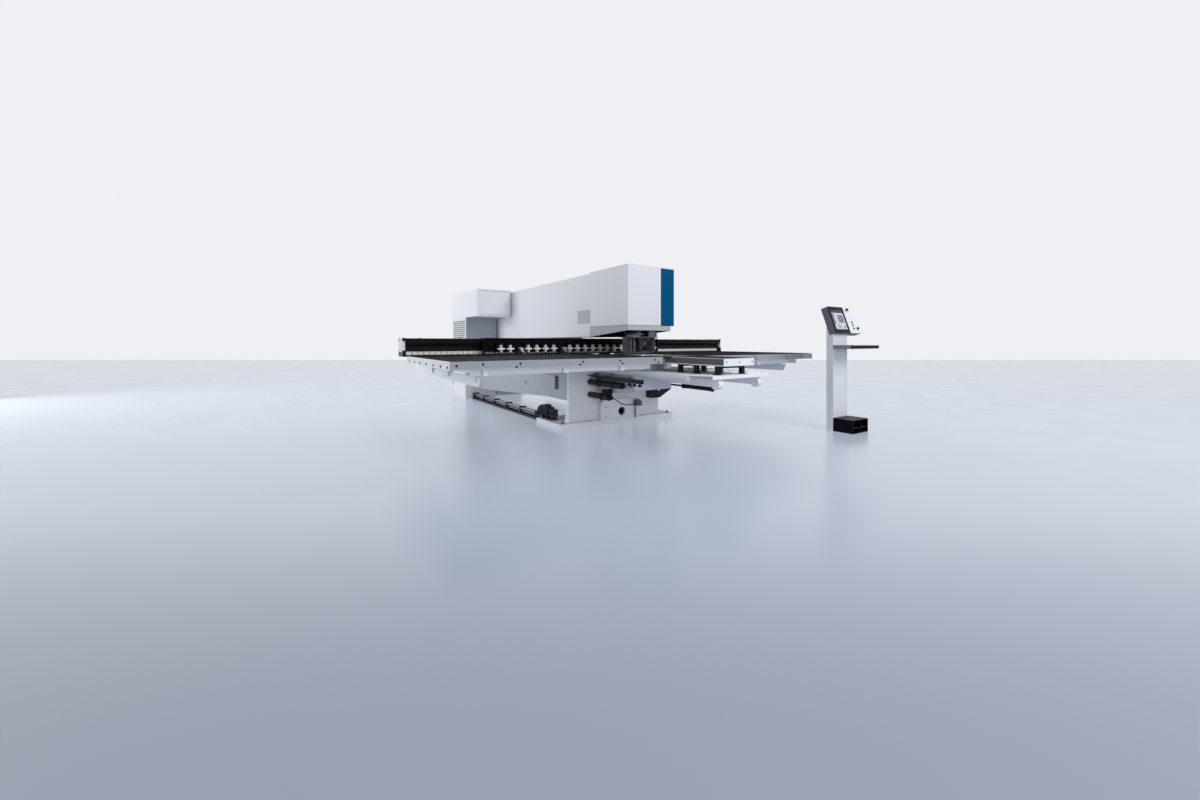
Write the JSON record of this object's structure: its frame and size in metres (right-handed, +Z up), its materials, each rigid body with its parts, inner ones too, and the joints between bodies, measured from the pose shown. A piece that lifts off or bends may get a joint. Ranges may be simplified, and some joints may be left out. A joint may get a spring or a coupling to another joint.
{
  "type": "cnc punch press",
  "caption": "CNC sheet-metal punching machine: C-frame head, travelling brush tables, cross rail with linear tool magazine and clamps, parts deck and free-standing console.",
  "frame": {"origin": "on the floor at the centre of the front foot plate", "axes": "+X to the operator's right, +Y back into the machine, +Z up"},
  "size_m": [5.44, 6.92, 2.1],
  "materials": {
    "white_paint": "satin powder coat",
    "frame_paint": "satin powder coat",
    "cover_paint": "satin powder coat",
    "skirt_paint": "satin powder coat",
    "blue_paint": "satin powder coat",
    "side_paint": "satin powder coat",
    "grille_paint": "satin powder coat",
    "dark_paint": "satin paint",
    "pipe_steel": "drawn steel tube",
    "black_paint": "semi-gloss paint",
    "table_paint": "satin powder coat",
    "bright_steel": "ground steel",
    "tool_steel": "machined steel",
    "brush_black": "dense bristle",
    "rail_paint": "satin paint",
    "cap_aluminium": "cast, bead blasted",
    "roller_plastic": "moulded",
    "cassette_metal": "machined",
    "clamp_aluminium": "machined",
    "console_paint": "satin powder coat",
    "housing_paint": "satin powder coat",
    "bezel_plastic": "gloss",
    "screen_glass": "display cover sheet",
    "stop_plastic": "gloss",
    "knob_plastic": "moulded",
    "shelf_paint": "satin powder coat",
    "foot_box_paint": "semi-gloss paint",
    "pedal_rubber": "ribbed"
  },
  "bodies": {
    "machine": {"foot_plate": "white_paint", "pedestal": "white_paint", "c_frame": "frame_paint", "arm_cover": "cover_paint", "head_cover": "cover_paint", "head_skirt": "skirt_paint", "accent_casing": "blue_paint", "side_panels": "side_paint", "rear_cabinet": "cover_paint", "overhead_box": "cover_paint", "cabinet_grille": "grille_paint", "junction_box": "side_paint", "pipe_tray": "dark_paint", "floor_pipes": "pipe_steel", "drive_motor": "black_paint", "accumulators": "black_paint", "valve_manifold": "black_paint", "lube_block": "dark_paint", "strut_bracket": "dark_paint", "gas_strut": "dark_paint", "parts_deck": "white_paint", "deck_beams": "white_paint", "table_posts": "black_paint", "front_table": "table_paint", "die_table": "table_paint", "y_rails": "bright_steel", "tool_drive": "skirt_paint", "stripper": "tool_steel", "die_seat": "tool_steel", "console_post": "console_paint", "console_housing": "housing_paint", "console_bezel": "bezel_plastic", "console_screen": "screen_glass", "control_panel": "console_paint", "console_shelf": "shelf_paint", "foot_switch_box": "foot_box_paint"},
    "table_axis": {"left_table": "table_paint", "right_table": "table_paint", "left_brushes": "brush_black", "right_brushes": "brush_black", "table_beams": "white_paint", "y_saddles": "dark_paint", "cross_rail": "rail_paint", "rail_ends": "cap_aluminium", "roller_strip": "roller_plastic"},
    "magazine_axis": {"carriage": "black_paint", "magazine": "dark_paint", "cassettes": "cassette_metal", "clamp_bodies": "clamp_aluminium"},
    "jaw_1": {"clamp_jaw_1": "bright_steel"},
    "jaw_2": {"clamp_jaw_2": "bright_steel"},
    "jaw_3": {"clamp_jaw_3": "bright_steel"},
    "tool_holder": {"tool_head": "tool_steel"},
    "punch_ram": {"ram": "bright_steel"},
    "turning_die": {"die": "bright_steel"},
    "flap": {"chute_flap": "table_paint"},
    "stop_button": {"emergency_stop": "stop_plastic"},
    "knob": {"mode_knob": "knob_plastic"},
    "pedal_l": {"left_pedal": "pedal_rubber"},
    "pedal_r": {"right_pedal": "pedal_rubber"}
  },
  "joints": [
    {"name": "y_travel", "type": "slide", "parent": "machine", "child": "table_axis", "axis": [0, 1, 0], "range_m": [-0.57, 0.6]},
    {"name": "x_travel", "type": "slide", "parent": "table_axis", "child": "magazine_axis", "axis": [1, 0, 0], "range_m": [-0.9, 1.58]},
    {"name": "clamp_jaw_1_pivot", "type": "hinge", "parent": "magazine_axis", "child": "jaw_1", "pos_m": [-1.301, 0.092, 1.03], "axis": [-1, 0, 0], "range_deg": [0, 12]},
    {"name": "clamp_jaw_2_pivot", "type": "hinge", "parent": "magazine_axis", "child": "jaw_2", "pos_m": [-0.661, 0.092, 1.03], "axis": [-1, 0, 0], "range_deg": [0, 12]},
    {"name": "clamp_jaw_3_pivot", "type": "hinge", "parent": "magazine_axis", "child": "jaw_3", "pos_m": [0.619, 0.092, 1.03], "axis": [-1, 0, 0], "range_deg": [0, 12]},
    {"name": "tool_rotation", "type": "hinge", "parent": "machine", "child": "tool_holder", "pos_m": [0, -0.79, 1.15], "axis": [0, 0, 1], "continuous": true},
    {"name": "ram_slide", "type": "slide", "parent": "tool_holder", "child": "punch_ram", "axis": [0, 0, 1], "range_m": [-0.037, 0]},
    {"name": "die_rotation", "type": "hinge", "parent": "machine", "child": "turning_die", "pos_m": [0, -0.79, 0.9], "axis": [0, 0, 1], "continuous": true},
    {"name": "flap_pivot", "type": "hinge", "parent": "machine", "child": "flap", "pos_m": [0.03, -1.058, 0.936], "axis": [1, 0, 0], "range_deg": [0, 9]},
    {"name": "stop_press", "type": "slide", "parent": "machine", "child": "stop_button", "axis": [0, 0.9455, -0.3256], "range_m": [0, 0.006]},
    {"name": "knob_turn", "type": "hinge", "parent": "machine", "child": "knob", "pos_m": [2.41, -2.33051, 1.2954], "axis": [0, 0.9455, -0.3256], "range_deg": [-135, 135]},
    {"name": "pedal_l_press", "type": "hinge", "parent": "machine", "child": "pedal_l", "pos_m": [1.96, -2.36, 0.034], "axis": [1, 0, 0], "range_deg": [0, 8], "stiffness_Nm_per_rad": 20, "springref_deg": -11.46},
    {"name": "pedal_r_press", "type": "hinge", "parent": "machine", "child": "pedal_r", "pos_m": [2.13, -2.36, 0.034], "axis": [1, 0, 0], "range_deg": [0, 8], "stiffness_Nm_per_rad": 20, "springref_deg": -11.46}
  ],
  "couplings": [
    {"joint": "die_rotation", "follows": "tool_rotation", "ratio": 1}
  ]
}
